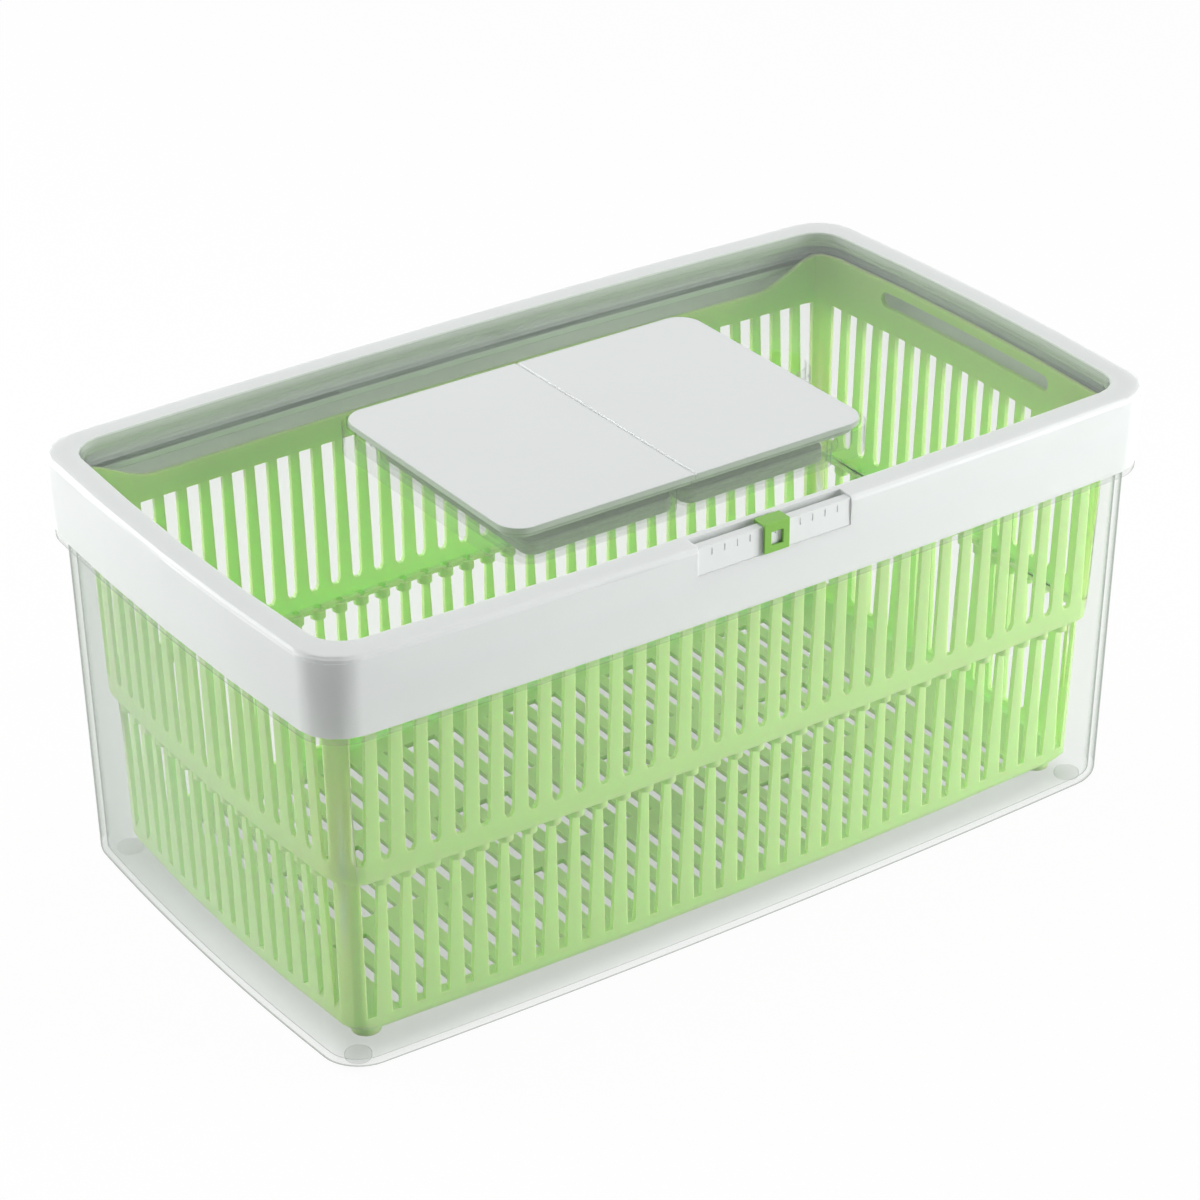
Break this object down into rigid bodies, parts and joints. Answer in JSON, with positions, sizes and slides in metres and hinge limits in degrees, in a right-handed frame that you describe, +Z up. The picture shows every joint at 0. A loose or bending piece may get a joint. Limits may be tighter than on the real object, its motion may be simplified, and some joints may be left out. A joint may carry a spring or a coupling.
{
  "type": "vented produce storage bin",
  "caption": "Clear produce storage bin with a slotted lift-out basket, a white lid with a clear window, a filter behind a folding door and a sliding air vent.",
  "frame": {"origin": "under the middle of the bin, on the plane that its feet stand on", "axes": "+Z up, +X along the length of the bin with the door of the filter cover on the +X half, -Y towards the vent slider"},
  "size_m": [0.34, 0.1925, 0.157],
  "materials": {
    "bin_clear": "clear polished plastic",
    "foot_clear": "smooth clear pad",
    "basket_green": "satin moulded",
    "lid_white": "satin moulded",
    "window_clear": "clear polished plastic",
    "gasket_rubber": "soft silicone",
    "holder_clear": "clear polished plastic",
    "sachet_fabric": "nonwoven",
    "cover_white": "satin moulded",
    "bar_white": "satin moulded",
    "slider_green": "satin moulded",
    "shutter_white": "matte"
  },
  "bodies": {
    "bin": {"container": "bin_clear", "foot_front_left": "foot_clear", "foot_front_right": "foot_clear", "foot_back_left": "foot_clear", "foot_back_right": "foot_clear"},
    "basket": {"basket": "basket_green"},
    "lid": {"lid_frame": "lid_white", "lid_panel": "window_clear", "lid_gasket": "gasket_rubber", "filter_holder": "holder_clear", "filter_sachet_left": "sachet_fabric", "filter_sachet_right": "sachet_fabric", "filter_cover": "cover_white", "track_bar": "bar_white"},
    "door": {"filter_door": "cover_white"},
    "vent": {"vent_slider": "slider_green", "vent_shutter": "shutter_white"}
  },
  "joints": [
    {"name": "basket_lift", "type": "slide", "parent": "bin", "child": "basket", "axis": [0, 0, 1], "range_m": [0, 0.14]},
    {"name": "lid_lift", "type": "slide", "parent": "basket", "child": "lid", "axis": [0, 0, 1], "range_m": [0, 0.06]},
    {"name": "door_fold", "type": "hinge", "parent": "lid", "child": "door", "pos_m": [0, 0, 0.1553], "axis": [0, -1, 0], "range_deg": [0, 95]},
    {"name": "vent_slide", "type": "slide", "parent": "lid", "child": "vent", "axis": [1, 0, 0], "range_m": [-0.0235, 0.0235]}
  ]
}
